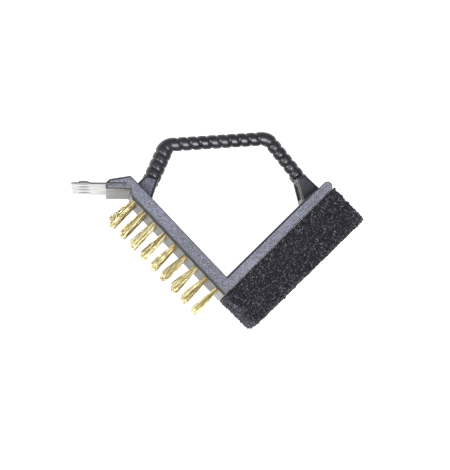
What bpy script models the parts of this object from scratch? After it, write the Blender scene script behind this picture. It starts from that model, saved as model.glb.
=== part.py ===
"""Grill cleaning brush with three tools on one V-shaped black moulding: brass bristles under the
left arm, a scouring pad under the right arm, and a steel scraper blade in a bracket at the left.

The brush lies on its side. X runs from the scraper to the pad, Y from the V up to the handle bar,
and Z across the width of the brush, from the face it lies on to the face on top.
"""

import math

import bmesh
import bpy
from mathutils import Matrix, Vector

# Sizes are in metres and angles in degrees. "Across" is along Z. A clearance is between two parts.
BRUSH_WIDTH = 0.055
GAP = 0.0003

# The V: two arms that meet at its inner corner, which is the point that all places start from.
LEFT_ARM_ANGLE = 133.6
LEFT_ARM_LENGTH = 0.1045
LEFT_ARM_THICKNESS = 0.011
RIGHT_ARM_ANGLE = 44.9
RIGHT_ARM_LENGTH = 0.1070
RIGHT_ARM_THICKNESS = 0.0088
RIGHT_END_THINNER = 0.0013
RIGHT_END_TAPER = (0.0050, 0.0120)
RIGHT_END_STEPS = 8
BRISTLE_FACE_ROUND = 0.0022
RIGHT_INNER_ROUND = 0.0015

# The bracket that runs on from the knee at the top of the left arm and holds the blade.
BRACKET_ANGLE = 190.0
BRACKET_TOP_LENGTH = 0.0158
BRACKET_LENGTH = 0.0184
BRACKET_CHAMFER_DROP = 0.0027
BRACKET_DEPTH = 0.0074
BRACKET_ROOT_BACK = 0.0006
FACE_SHORT_OF_KNEE = 0.0118
SLOT_ROOF = 0.0026
SLOT_DEPTH = 0.0150

# The formed steel blade.
BLADE_THICKNESS = 0.0014
BLADE_EXPOSED = 0.0259
BLADE_SIDE_INSET = 0.0003
BLADE_CORNER = 0.0025
BEAD_SPACES = 4
BEAD_LENGTH = 0.0098
BEAD_WIDTH = 0.0070
BEAD_HEIGHT = 0.0009
BEAD_FROM_TIP = 0.0095
BLADE_GRID = (12, 28)
BLADE_GRID_CROWDING = 1.6

# The feet that tie the handle to the arms. A foot's top corners are given as the distance from
# the foot's outer end along the arm and the distance away from the arm.
# A foot is sunk into its arm by more than its round, or the rounds would run into each other.
FOOT_ACROSS = 0.025
LEFT_FOOT_TOP_ACROSS = 0.0155
FOOT_ROUND = 0.0018
FOOT_ROUND_SHARE_OF_SINK = 0.6
FOOT_SINK = FOOT_ROUND / FOOT_ROUND_SHARE_OF_SINK
LEFT_FOOT_FROM_KNEE = 0.0062
LEFT_FOOT_LENGTH = 0.0170
LEFT_FOOT_TOP_OUTER = (-0.0006, 0.0108)
LEFT_FOOT_TOP_INNER = (0.0078, 0.0170)
RIGHT_FOOT_FROM_END = 0.0058
RIGHT_FOOT_LENGTH = 0.0168
RIGHT_FOOT_TOP_OUTER = (0.0006, 0.0138)
RIGHT_FOOT_TOP_INNER = (0.0072, 0.0162)
POCKET_ACROSS = 0.0165
POCKET_DEPTH = 0.0020
POCKET_ABOVE_ARM = 0.0030
STEP_ACROSS = 0.0030
STEP_INSET = 0.0006
STEP_REACH = 0.0048
STEP_THICKNESS = 0.0018

# The ribbed rope handle. A leg runs from a share of its foot's top, counted from the inner corner,
# to its corner of the bar.
LEFT_LEG_SHARE = 0.5
LEFT_LEG = (0.0114, 0.0262)
RIGHT_LEG_SHARE = 0.62
RIGHT_LEG = (-0.0250, 0.0310)
LEG_SINK = 0.0040
BAR_DIAMETER = 0.0110
LEFT_LEG_DIAMETER = 0.0134
ELBOW_RADIUS = 0.0085
ROPE_STEP = 0.0012
ROPE_SIDES = 16
ELBOW_FEWEST_STEPS = 4
ELBOW_GROOVE_FADE = 2

# The groove that winds round each run of the handle: its pitch, how far along the run it first
# crosses the outer side, and its turns to a pitch, which are negative where it is left-handed and
# 0 for plain rings. It fades out round the elbows.
GROOVE_DEPTH = 0.0010
GROOVE_SHARPNESS = 4.0
LEFT_GROOVE = (0.0063, 0.0057, -1)
BAR_GROOVE = (0.0076, 0.00035, 1)
RIGHT_GROOVE = (0.00665, 0.0053, 0)

# The bristles: rows along the left arm, each of a few tufts across the brush.
ROWS = 9
COLUMNS = 4
FIRST_ROW_PAST_V = 0.0014
LAST_ROW_FROM_KNEE = 0.0147
COLUMN_INSET = 0.0090
TUFT_LENGTH = 0.0221
TUFT_ROOT_DIAMETER = 0.0029
TUFT_TIP_DIAMETER = 0.0054
TUFT_TIP_ROUND = 0.0008
TUFT_ROOT_DEPTH = 0.0065
TUFT_WAIST_SHARE = 0.5
TUFT_SIDES = 8
TUFT_AXIS_MERGE = 0.00005

# The scouring pad and the glue that holds it.
PAD_SHORT_OF_BRISTLE_FACE = 0.0006
PAD_SHORT_OF_END = 0.0010
PAD_THICKNESS = 0.0318
PAD_SIDE_INSET = 0.0005
PAD_CORNER = 0.0030
GLUE_THICKNESS = 0.0004
GLUE_INSET = 0.0030

# How far a cutter runs past the surface that it cuts.
CUT_PAST = 0.0020


def turned(angle):
    """The unit vector at this angle in the XY plane."""
    return Vector((math.cos(math.radians(angle)), math.sin(math.radians(angle))))


LEFT_ALONG = turned(LEFT_ARM_ANGLE)
LEFT_OUT = turned(LEFT_ARM_ANGLE + 90)
RIGHT_ALONG = turned(RIGHT_ARM_ANGLE)
RIGHT_OUT = turned(RIGHT_ARM_ANGLE - 90)


def clear_scene():
    for obj in list(bpy.data.objects):
        bpy.data.objects.remove(obj, do_unlink=True)


def new_collection(name):
    collection = bpy.data.collections.new(name)
    bpy.context.scene.collection.children.link(collection)
    return collection


def material(name, color, roughness, metallic):
    made = bpy.data.materials.new(name)
    made.use_nodes = True
    shader = made.node_tree.nodes["Principled BSDF"]
    shader.inputs["Base Color"].default_value = (*color, 1.0)
    shader.inputs["Roughness"].default_value = roughness
    shader.inputs["Metallic"].default_value = metallic
    return made


def add_object(name, data, collection, finish=None):
    obj = bpy.data.objects.new(name, data)
    collection.objects.link(obj)
    if finish:
        data.materials.append(finish)
    return obj


def helper(name, data, collection):
    """A cutter, or a shape that a Boolean joins to a part."""
    obj = add_object(name, data, collection)
    obj.hide_render = True
    obj.display_type = "WIRE"
    return obj


def boolean(obj, other, operation):
    modifier = obj.modifiers.new(operation.title() + " " + other.name, "BOOLEAN")
    modifier.operation = operation
    modifier.solver = "EXACT"
    modifier.object = other


def smooth(mesh, angle=35):
    mesh.shade_smooth()
    mesh.set_sharp_from_angle(angle=math.radians(angle))


def prism(name, outline, bottom, top, rounds=()):
    """The outline extruded from bottom to top. Each of rounds is (chooser, radius): the rim edges
    whose middle the chooser accepts are rounded to that radius."""
    form = bmesh.new()
    face = form.faces.new([form.verts.new((p.x, p.y, bottom)) for p in outline])
    pushed = bmesh.ops.extrude_face_region(form, geom=[face])
    moved = [item for item in pushed["geom"] if isinstance(item, bmesh.types.BMVert)]
    bmesh.ops.translate(form, verts=moved, vec=(0, 0, top - bottom))
    bmesh.ops.recalc_face_normals(form, faces=form.faces[:])
    for chooser, radius in rounds:
        rim = []
        for edge in form.edges:
            a, b = (v.co for v in edge.verts)
            if abs(a.z - b.z) < 1e-6 and chooser((a.xy + b.xy) / 2):
                rim.append(edge)
        bmesh.ops.bevel(
            form, geom=rim, offset=radius, segments=3, profile=0.5, affect="EDGES"
        )
    bmesh.ops.remove_doubles(form, verts=form.verts[:], dist=1e-6)
    mesh = bpy.data.meshes.new(name)
    form.to_mesh(mesh)
    form.free()
    smooth(mesh)
    return mesh


def meeting(point_a, along_a, point_b, along_b):
    """Where two lines of the XY plane cross."""
    cross = along_a.x * along_b.y - along_a.y * along_b.x
    between = point_b - point_a
    step = (between.x * along_b.y - between.y * along_b.x) / cross
    return point_a + along_a * step


def left_place(along, out):
    return LEFT_ALONG * along + LEFT_OUT * out


def right_place(along, out):
    return RIGHT_ALONG * along + RIGHT_OUT * out


def knee():
    return left_place(LEFT_ARM_LENGTH, 0)


def bracket_chamfer_top():
    return knee() + turned(BRACKET_ANGLE) * BRACKET_TOP_LENGTH


def bracket_floor():
    """The Y of the bracket's underside."""
    return bracket_chamfer_top().y - BRACKET_DEPTH


def bracket_end():
    """The X of the bracket's free end."""
    return knee().x - BRACKET_LENGTH


def right_foot_outer():
    """How far along the right arm its foot's outer end is."""
    return RIGHT_ARM_LENGTH - RIGHT_FOOT_FROM_END


def left_foot_outer():
    """How far along the left arm its foot's outer end is."""
    return LEFT_ARM_LENGTH - LEFT_FOOT_FROM_KNEE


def right_free_end():
    """The round free end of the right arm, from its outer face to its inner one."""
    radius = (RIGHT_ARM_THICKNESS - RIGHT_END_THINNER) / 2
    centre = right_place(RIGHT_ARM_LENGTH - radius, RIGHT_ARM_THICKNESS - radius)
    arc = []
    for step in range(RIGHT_END_STEPS + 1):
        turn = RIGHT_ARM_ANGLE - 90 + 180 * step / RIGHT_END_STEPS
        arc.append(centre + turned(turn) * radius)
    return arc


def v_outline():
    """The outline of the V and its bracket, counterclockwise from the tip of the V."""
    tip = meeting(
        left_place(0, LEFT_ARM_THICKNESS),
        LEFT_ALONG,
        right_place(0, RIGHT_ARM_THICKNESS),
        RIGHT_ALONG,
    )
    chamfer = bracket_chamfer_top()
    return [
        tip,
        *right_free_end(),
        right_place(right_foot_outer() - RIGHT_END_TAPER[0], RIGHT_END_THINNER),
        right_place(right_foot_outer() - RIGHT_END_TAPER[1], 0),
        right_place(0, 0),
        knee(),
        chamfer,
        Vector((bracket_end(), chamfer.y - BRACKET_CHAMFER_DROP)),
        Vector((bracket_end(), bracket_floor())),
        Vector((knee().x - BRACKET_ROOT_BACK, bracket_floor())),
        left_place(LEFT_ARM_LENGTH - FACE_SHORT_OF_KNEE, LEFT_ARM_THICKNESS),
    ]


def v_mesh():
    def on_bristle_face(point):
        return abs(point.dot(LEFT_OUT) - LEFT_ARM_THICKNESS) < 1e-5

    def on_right_inner_face(point):
        return abs(point.dot(RIGHT_OUT)) < 1e-5 and point.dot(RIGHT_ALONG) > 0

    return prism(
        "v_frame",
        v_outline(),
        0,
        BRUSH_WIDTH,
        [
            (on_bristle_face, BRISTLE_FACE_ROUND),
            (on_right_inner_face, RIGHT_INNER_ROUND),
        ],
    )


def elbow(before, corner, after, radius):
    """Points of the arc that rounds the corner between two straight runs."""
    to_before = (before - corner).normalized()
    to_after = (after - corner).normalized()
    half = to_before.angle(to_after) / 2
    reach = radius / math.tan(half)
    centre = corner + (to_before + to_after).normalized() * radius / math.sin(half)
    start = corner + to_before * reach - centre
    end = corner + to_after * reach - centre
    sweep = start.angle_signed(end)
    count = max(ELBOW_FEWEST_STEPS, round(abs(sweep) * radius / ROPE_STEP))
    arc = []
    for step in range(count + 1):
        arc.append(centre + Matrix.Rotation(-sweep * step / count, 2) @ start)
    return arc


def straight(start, end):
    """Points between start and end, without either."""
    count = max(2, round((end - start).length / ROPE_STEP))
    return [start.lerp(end, step / count) for step in range(1, count)]


def left_foot_top():
    """The outer and inner corners of the left foot's top."""
    return [
        left_place(left_foot_outer() - along, -away)
        for along, away in (LEFT_FOOT_TOP_OUTER, LEFT_FOOT_TOP_INNER)
    ]


def right_foot_top():
    """The outer and inner corners of the right foot's top."""
    return [
        right_place(right_foot_outer() - along, -away)
        for along, away in (RIGHT_FOOT_TOP_OUTER, RIGHT_FOOT_TOP_INNER)
    ]


def leg_line(foot_top, share, leg):
    """Where a leg starts, a little inside its foot, and the corner of the bar that it reaches."""
    foot = foot_top[1].lerp(foot_top[0], share)
    corner = foot + Vector(leg)
    return foot + (foot - corner).normalized() * LEG_SINK, corner


def rope_runs():
    """The left leg, the bar and the right leg, each as its start, end and groove."""
    left_start, left_corner = leg_line(left_foot_top(), LEFT_LEG_SHARE, LEFT_LEG)
    right_start, right_corner = leg_line(right_foot_top(), RIGHT_LEG_SHARE, RIGHT_LEG)
    return [
        (left_start, left_corner, LEFT_GROOVE),
        (left_corner, right_corner, BAR_GROOVE),
        (right_corner, right_start, RIGHT_GROOVE),
    ]


def rope_route():
    """The handle's centre line as (place, run, groove strength, share of the left leg's extra
    thickness) from the left foot over the bar to the right foot."""
    left, bar, right = rope_runs()
    first = elbow(left[0], bar[0], bar[1], ELBOW_RADIUS)
    second = elbow(bar[0], bar[1], right[1], ELBOW_RADIUS)
    route = [(left[0], left, 1, 1)]
    route += [(place, left, 1, 1) for place in straight(left[0], first[0])]
    for arc, before, after, thick in ((first, left, bar, 1), (second, bar, right, 0)):
        for index, place in enumerate(arc):
            share = index / (len(arc) - 1)
            run = before if share < 0.5 else after
            strength = abs(2 * share - 1) ** ELBOW_GROOVE_FADE
            route.append((place, run, strength, thick * (1 - share)))
        if arc is first:
            route += [(place, bar, 1, 0) for place in straight(arc[-1], second[0])]
    route += [(place, right, 1, 0) for place in straight(second[-1], right[1])]
    route.append((right[1], right, 1, 0))
    return route


def groove_at(place, run, turn):
    """How deep the groove is at a place along its run, as a share of its full depth. turn is the
    place round the handle, from 0 on the outer side to 1."""
    start, end, (pitch, first, hand) = run
    along = (place - start).dot((end - start).normalized())
    across = ((along - first) / pitch - hand * turn) % 1
    return abs(2 * across - 1) ** GROOVE_SHARPNESS


def rope(collection):
    """The ribbed handle. Its left leg is thicker, and thins to the bar round the left elbow."""
    route = rope_route()
    form = bmesh.new()
    rings = []
    for index, (place, run, strength, thick) in enumerate(route):
        before = route[max(0, index - 1)][0]
        after = route[min(len(route) - 1, index + 1)][0]
        along = (after - before).normalized()
        outer = Vector((-along.y, along.x, 0))
        radius = (BAR_DIAMETER + (LEFT_LEG_DIAMETER - BAR_DIAMETER) * thick) / 2
        ring = []
        for side in range(ROPE_SIDES):
            turn = side / ROPE_SIDES
            angle = 2 * math.pi * turn
            reach = radius - GROOVE_DEPTH * strength * groove_at(place, run, turn)
            spoke = outer * math.cos(angle) + Vector((0, 0, math.sin(angle)))
            ring.append(form.verts.new(Vector((*place, BRUSH_WIDTH / 2)) + spoke * reach))
        rings.append(ring)
    for ring, following in zip(rings, rings[1:]):
        for side in range(ROPE_SIDES):
            other = (side + 1) % ROPE_SIDES
            form.faces.new((ring[side], ring[other], following[other], following[side]))
    form.faces.new(rings[0])
    form.faces.new(rings[-1])
    bmesh.ops.recalc_face_normals(form, faces=form.faces[:])
    mesh = bpy.data.meshes.new("rope")
    form.to_mesh(mesh)
    form.free()
    smooth(mesh)
    return helper("rope", mesh, collection)


def left_foot(collection):
    """The foot under the left leg, which narrows across the brush as it rises to the leg."""
    outer, inner = left_foot_top()
    start = left_foot_outer() - LEFT_FOOT_LENGTH
    outline = [
        left_place(start, FOOT_SINK),
        left_place(start, 0),
        inner,
        outer,
        left_place(left_foot_outer(), 0),
        left_place(left_foot_outer(), FOOT_SINK),
    ]
    foot = foot_block("left_foot", outline, collection)
    middle = BRUSH_WIDTH / 2
    for vert in foot.data.vertices:
        risen = -vert.co.xy.dot(LEFT_OUT) / LEFT_FOOT_TOP_INNER[1]
        narrowing = 1 - LEFT_FOOT_TOP_ACROSS / FOOT_ACROSS
        vert.co.z = middle + (vert.co.z - middle) * (1 - narrowing * max(0, min(1, risen)))
    return foot


def right_foot(collection):
    """The flared foot under the right leg."""
    outer, inner = right_foot_top()
    start = right_foot_outer() - RIGHT_FOOT_LENGTH
    outline = [
        right_place(right_foot_outer(), FOOT_SINK),
        right_place(right_foot_outer(), 0),
        outer,
        inner,
        right_place(start, 0),
        right_place(start, FOOT_SINK),
    ]
    return foot_block("right_foot", outline, collection)


def foot_block(name, outline, collection):
    middle = BRUSH_WIDTH / 2
    half = FOOT_ACROSS / 2
    mesh = prism(
        name,
        outline,
        middle - half,
        middle + half,
        [(lambda point: True, FOOT_ROUND)],
    )
    return helper(name, mesh, collection)


def bar_between(name, start, end, across_from, across_to, thickness, collection):
    """A box that runs from start to end in the XY plane."""
    along = (end - start).normalized()
    side = Vector((-along.y, along.x)) * thickness / 2
    outline = [start - side, end - side, end + side, start + side]
    return helper(name, prism(name, outline, across_from, across_to), collection)


def foot_step(collection):
    """The small moulded step that runs on up from the right foot, beside the leg."""
    inner = right_foot_top()[1]
    start, corner = leg_line(right_foot_top(), RIGHT_LEG_SHARE, RIGHT_LEG)
    up = (corner - start).normalized()
    edge = inner + Vector((up.y, -up.x)) * STEP_THICKNESS / 2
    low = (BRUSH_WIDTH - FOOT_ACROSS) / 2 + STEP_INSET
    return bar_between(
        "foot_step",
        edge - up * STEP_REACH,
        edge + up * STEP_REACH,
        low,
        low + STEP_ACROSS,
        STEP_THICKNESS,
        collection,
    )


def foot_pocket(collection):
    """The shallow pocket in the inner side of the right foot, between its two ribs."""
    inner = right_foot_top()[1]
    base = right_place(right_foot_outer() - RIGHT_FOOT_LENGTH, 0)
    along = (inner - base).normalized()
    middle = BRUSH_WIDTH / 2
    return bar_between(
        "foot_pocket",
        base + along * POCKET_ABOVE_ARM,
        inner - along * POCKET_DEPTH,
        middle - POCKET_ACROSS / 2,
        middle + POCKET_ACROSS / 2,
        POCKET_DEPTH * 2,
        collection,
    )


def slot_roof():
    """The Y of the top of the blade's slot."""
    return bracket_chamfer_top().y - SLOT_ROOF


def blade_top():
    return slot_roof() - GAP


def slot_cutter(collection):
    height = BLADE_THICKNESS + 2 * GAP
    middle = slot_roof() - height / 2
    return bar_between(
        "blade_slot",
        Vector((bracket_end() - CUT_PAST, middle)),
        Vector((bracket_end() + SLOT_DEPTH, middle)),
        -CUT_PAST,
        BRUSH_WIDTH + CUT_PAST,
        height,
        collection,
    )


def tuft_places():
    """(name, place on the bristle face) of each tuft."""
    first = -FIRST_ROW_PAST_V
    last = LEFT_ARM_LENGTH - LAST_ROW_FROM_KNEE
    places = []
    for row in range(ROWS):
        along = first + (last - first) * row / (ROWS - 1)
        face = left_place(along, LEFT_ARM_THICKNESS)
        for column in range(COLUMNS):
            share = column / (COLUMNS - 1)
            across = COLUMN_INSET + (BRUSH_WIDTH - 2 * COLUMN_INSET) * share
            name = f"bristle_tuft_{row + 1}{'abcdefgh'[column]}"
            places.append((name, Vector((face.x, face.y, across))))
    return places


def face_matrix(place):
    """A frame at a place on the bristle face, with its Z pointing out of the face."""
    out = Vector((LEFT_OUT.x, LEFT_OUT.y, 0))
    turn = out.to_track_quat("Z", "Y").to_matrix().to_4x4()
    return Matrix.Translation(place) @ turn


def tuft_hole_cutter(collection):
    """All the blind holes of the bristle face, as separate closed pins in one cutter."""
    form = bmesh.new()
    depth = TUFT_ROOT_DEPTH + GAP
    radius = TUFT_ROOT_DIAMETER / 2 + GAP
    for _, place in tuft_places():
        lift = Matrix.Translation((0, 0, (CUT_PAST - depth) / 2))
        bmesh.ops.create_cone(
            form,
            cap_ends=True,
            segments=TUFT_SIDES,
            radius1=radius,
            radius2=radius,
            depth=depth + CUT_PAST,
            matrix=face_matrix(place) @ lift,
        )
    mesh = bpy.data.meshes.new("tuft_holes")
    form.to_mesh(mesh)
    form.free()
    return helper("tuft_holes", mesh, collection)


def body_moulding(parts, cutters, finish):
    """The V, its bracket and the ribbed handle are one moulding."""
    body = add_object("body_moulding", v_mesh(), parts, finish)
    boolean(body, left_foot(cutters), "UNION")
    boolean(body, right_foot(cutters), "UNION")
    boolean(body, foot_pocket(cutters), "DIFFERENCE")
    boolean(body, foot_step(cutters), "UNION")
    boolean(body, rope(cutters), "UNION")
    boolean(body, slot_cutter(cutters), "DIFFERENCE")
    boolean(body, tuft_hole_cutter(cutters), "DIFFERENCE")
    return body


def bead_rise(from_tip, across):
    """How far the stiffening beads lift the blade at a point."""
    spacing = BRUSH_WIDTH / BEAD_SPACES
    nearest = round(across / spacing) * spacing
    x = (from_tip - BEAD_FROM_TIP) / (BEAD_LENGTH / 2)
    z = (across - nearest) / (BEAD_WIDTH / 2)
    reach = x * x + z * z
    return BEAD_HEIGHT * (1 - reach) ** 0.5 if reach < 1 else 0.0


def blade_mesh():
    """The blade as a formed sheet: a grid with its beads pressed up, given its thickness."""
    width = BRUSH_WIDTH - 2 * BLADE_SIDE_INSET
    length = BLADE_EXPOSED + SLOT_DEPTH - GAP
    tip = bracket_end() - BLADE_EXPOSED
    form = bmesh.new()
    bmesh.ops.create_grid(form, x_segments=BLADE_GRID[0], y_segments=BLADE_GRID[1], size=0.5)
    for vert in form.verts:
        share, across = vert.co.x + 0.5, (vert.co.y + 0.5) * width
        from_tip = share**BLADE_GRID_CROWDING * length
        edge = min(across, width - across)
        if edge < BLADE_CORNER:
            drop = math.sqrt(BLADE_CORNER**2 - (BLADE_CORNER - edge) ** 2)
            from_tip += (BLADE_CORNER - drop) * (1 - share)
        place = across + BLADE_SIDE_INSET
        vert.co = (tip + from_tip, blade_top() + bead_rise(from_tip, place), place)
    bmesh.ops.recalc_face_normals(form, faces=form.faces[:])
    if form.faces[0].normal.y < 0:
        bmesh.ops.reverse_faces(form, faces=form.faces[:])
    mesh = bpy.data.meshes.new("scraper_blade")
    form.to_mesh(mesh)
    form.free()
    smooth(mesh)
    return mesh


def scraper_blade(parts, finish):
    blade = add_object("scraper_blade", blade_mesh(), parts, finish)
    sheet = blade.modifiers.new("Sheet thickness", "SOLIDIFY")
    sheet.thickness = BLADE_THICKNESS
    sheet.offset = -1
    return blade


def tuft_mesh():
    """One brass tuft: a straight root in its hole, then a bundle that flares to its tip."""
    root = TUFT_ROOT_DIAMETER / 2
    tip = TUFT_TIP_DIAMETER / 2
    profile = [
        (0, TUFT_LENGTH),
        (tip - TUFT_TIP_ROUND / 2, TUFT_LENGTH),
        (tip, TUFT_LENGTH - TUFT_TIP_ROUND),
        ((root + tip) / 2, TUFT_LENGTH * TUFT_WAIST_SHARE),
        (root, 0),
        (root, -TUFT_ROOT_DEPTH),
        (0, -TUFT_ROOT_DEPTH),
    ]
    form = bmesh.new()
    verts = [form.verts.new((radius, 0, height)) for radius, height in profile]
    for first, second in zip(verts, verts[1:]):
        form.edges.new((first, second))
    mesh = bpy.data.meshes.new("bristle_tuft")
    form.to_mesh(mesh)
    form.free()
    return mesh


def bristle_tufts(parts, finish):
    mesh = tuft_mesh()
    mesh.materials.append(finish)
    tufts = []
    for name, place in tuft_places():
        tuft = add_object(name, mesh, parts)
        tuft.matrix_world = face_matrix(place)
        spin = tuft.modifiers.new("Turned bundle", "SCREW")
        spin.axis = "Z"
        spin.steps = TUFT_SIDES
        spin.render_steps = TUFT_SIDES
        spin.use_merge_vertices = True
        spin.merge_threshold = TUFT_AXIS_MERGE
        spin.use_smooth_shade = True
        tufts.append(tuft)
    return tufts


def pad_face():
    """How far from the right arm's inner face the pad starts."""
    return RIGHT_ARM_THICKNESS + GLUE_THICKNESS + 2 * GAP


def right_arm_slab(name, start, end, near, far, across, corner, parts, finish):
    """A slab under the right arm, from start to end along it and from near to far out of it."""
    form = bmesh.new()
    bmesh.ops.create_cube(form, size=1)
    size = Matrix.Diagonal((end - start, far - near, across, 1))
    bmesh.ops.transform(form, matrix=size, verts=form.verts[:])
    if corner:
        bmesh.ops.bevel(
            form,
            geom=form.edges[:],
            offset=corner,
            segments=3,
            profile=0.5,
            affect="EDGES",
        )
    mesh = bpy.data.meshes.new(name)
    form.to_mesh(mesh)
    form.free()
    smooth(mesh)
    slab = add_object(name, mesh, parts, finish)
    middle = right_place((start + end) / 2, (near + far) / 2)
    slab.location = (middle.x, middle.y, BRUSH_WIDTH / 2)
    slab.rotation_euler = (0, 0, math.radians(RIGHT_ARM_ANGLE))
    return slab


def scouring_pad(parts, finish):
    return right_arm_slab(
        "scouring_pad",
        PAD_SHORT_OF_BRISTLE_FACE - LEFT_ARM_THICKNESS,
        RIGHT_ARM_LENGTH - PAD_SHORT_OF_END,
        pad_face(),
        pad_face() + PAD_THICKNESS,
        BRUSH_WIDTH - 2 * PAD_SIDE_INSET,
        PAD_CORNER,
        parts,
        finish,
    )


def pad_glue(parts, finish):
    return right_arm_slab(
        "pad_glue_layer",
        GLUE_INSET,
        RIGHT_ARM_LENGTH - RIGHT_ARM_THICKNESS - GLUE_INSET,
        RIGHT_ARM_THICKNESS + GAP,
        RIGHT_ARM_THICKNESS + GAP + GLUE_THICKNESS,
        BRUSH_WIDTH - 2 * GLUE_INSET,
        0,
        parts,
        finish,
    )


def stand_on_origin(parts, collection):
    """Hangs every part on one empty and moves it so that the origin is at the bottom centre."""
    bpy.context.view_layer.update()
    graph = bpy.context.evaluated_depsgraph_get()
    corners = []
    for part in parts:
        shape = part.evaluated_get(graph)
        corners += [shape.matrix_world @ Vector(corner) for corner in shape.bound_box]
    low = Vector([min(corner[axis] for corner in corners) for axis in range(3)])
    high = Vector([max(corner[axis] for corner in corners) for axis in range(3)])
    stand = bpy.data.objects.new("brush_origin", None)
    collection.objects.link(stand)
    for obj in list(bpy.data.objects):
        if obj is not stand:
            obj.parent = stand
    stand.location = (-(low.x + high.x) / 2, -(low.y + high.y) / 2, -low.z)


def main():
    clear_scene()
    parts = new_collection("grill_cleaning_brush")
    cutters = new_collection("cutters_and_joined_shapes")
    cutters.hide_render = True
    plastic = material("black_plastic", (0.035, 0.036, 0.042), 0.42, 0.0)
    steel = material("stainless_steel", (0.78, 0.78, 0.77), 0.25, 1.0)
    brass = material("brass_wire", (0.80, 0.58, 0.22), 0.35, 1.0)
    scour = material("scouring_fibre", (0.022, 0.022, 0.026), 0.95, 0.0)
    glue = material("glue", (0.60, 0.56, 0.45), 0.60, 0.0)
    made = [
        body_moulding(parts, cutters, plastic),
        scraper_blade(parts, steel),
        *bristle_tufts(parts, brass),
        pad_glue(parts, glue),
        scouring_pad(parts, scour),
    ]
    stand_on_origin(made, parts)


main()
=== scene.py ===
"""Looks of the grill cleaning brush: the moulding, blade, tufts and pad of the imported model, in
the same frame, with their fine shape and their materials.

The brush lies on its side. X runs from the scraper to the pad, Y from the V up to the handle bar,
and Z across the width of the brush.
"""

import math

import bmesh
import bpy
import numpy as np
from mathutils import Matrix, Vector, noise


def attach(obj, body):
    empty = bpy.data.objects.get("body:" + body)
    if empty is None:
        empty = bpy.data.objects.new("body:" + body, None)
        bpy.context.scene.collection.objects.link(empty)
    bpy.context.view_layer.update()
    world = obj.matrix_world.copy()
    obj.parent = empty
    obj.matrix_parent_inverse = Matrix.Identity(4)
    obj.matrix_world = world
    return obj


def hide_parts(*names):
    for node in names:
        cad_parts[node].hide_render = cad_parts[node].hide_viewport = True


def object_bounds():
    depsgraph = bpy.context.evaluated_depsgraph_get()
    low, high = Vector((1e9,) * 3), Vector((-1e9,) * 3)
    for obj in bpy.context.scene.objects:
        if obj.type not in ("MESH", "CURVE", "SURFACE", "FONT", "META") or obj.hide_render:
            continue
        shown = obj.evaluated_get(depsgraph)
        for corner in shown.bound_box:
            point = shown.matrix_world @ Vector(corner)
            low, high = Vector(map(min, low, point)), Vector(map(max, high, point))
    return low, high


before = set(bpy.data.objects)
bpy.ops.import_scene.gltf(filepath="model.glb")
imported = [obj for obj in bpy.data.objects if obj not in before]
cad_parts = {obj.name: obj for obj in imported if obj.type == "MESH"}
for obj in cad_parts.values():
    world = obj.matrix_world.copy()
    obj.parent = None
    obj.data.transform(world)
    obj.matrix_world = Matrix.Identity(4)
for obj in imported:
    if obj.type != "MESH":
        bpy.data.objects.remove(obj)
cad_low, cad_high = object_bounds()

# Sizes are in metres and angles in degrees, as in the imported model. Places in the XY plane are
# from the V's inner corner, which is at V_CORNER in the shared frame.
V_CORNER = Vector((0.0059585, -0.0394887, 0.0))
BRUSH_WIDTH = 0.055

LEFT_ARM_ANGLE = 133.6
LEFT_ARM_LENGTH = 0.1045
LEFT_ARM_THICKNESS = 0.011
RIGHT_ARM_ANGLE = 44.9
RIGHT_ARM_LENGTH = 0.1070
RIGHT_ARM_THICKNESS = 0.0088
RIGHT_END_THINNER = 0.0013
RIGHT_END_TAPER = (0.0050, 0.0120)
RIGHT_END_STEPS = 20

BRACKET_ANGLE = 190.0
BRACKET_TOP_LENGTH = 0.0158
BRACKET_LENGTH = 0.0184
BRACKET_CHAMFER_DROP = 0.0027
BRACKET_DEPTH = 0.0074
BRACKET_ROOT_BACK = 0.0006
FACE_SHORT_OF_KNEE = 0.0118
SLOT_ROOF = 0.0026
SLOT_DEPTH = 0.0150

BRISTLE_FACE_ROUND = 0.0022
RIGHT_INNER_ROUND = 0.0015
EDGE_ROUND = 0.0006
BRACKET_ROUND = 0.0015
KNEE_ROUND = 0.0012
FACE_END_ROUND = 0.0020
WIDEST_ROUND = 0.0025
ROUND_SEGMENTS = 4
FOOT_ROUND_SEGMENTS = 5
FREE_END_REACH = 0.012
BODY_SHARP_ANGLE = 32
EVEN_SHADING_WEIGHT = 60

BLADE_THICKNESS = 0.0014
BLADE_EXPOSED = 0.0259
BLADE_SIDE_INSET = 0.0003
BLADE_CORNER = 0.0025
BEAD_SPACES = 4
BEAD_LENGTH = 0.0098
BEAD_WIDTH = 0.0070
BEAD_HEIGHT = 0.0011
BEAD_FROM_TIP = 0.0095
BEAD_FULLNESS = 0.7
BLADE_GRID = (60, 110)
BLADE_GRID_CROWDING = 1.25
BLADE_RIM_ROUND = 0.00025
BLADE_RIM_SEGMENTS = 2
BLADE_RIM_ANGLE = 50
BLADE_SHARP_ANGLE = 40

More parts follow.
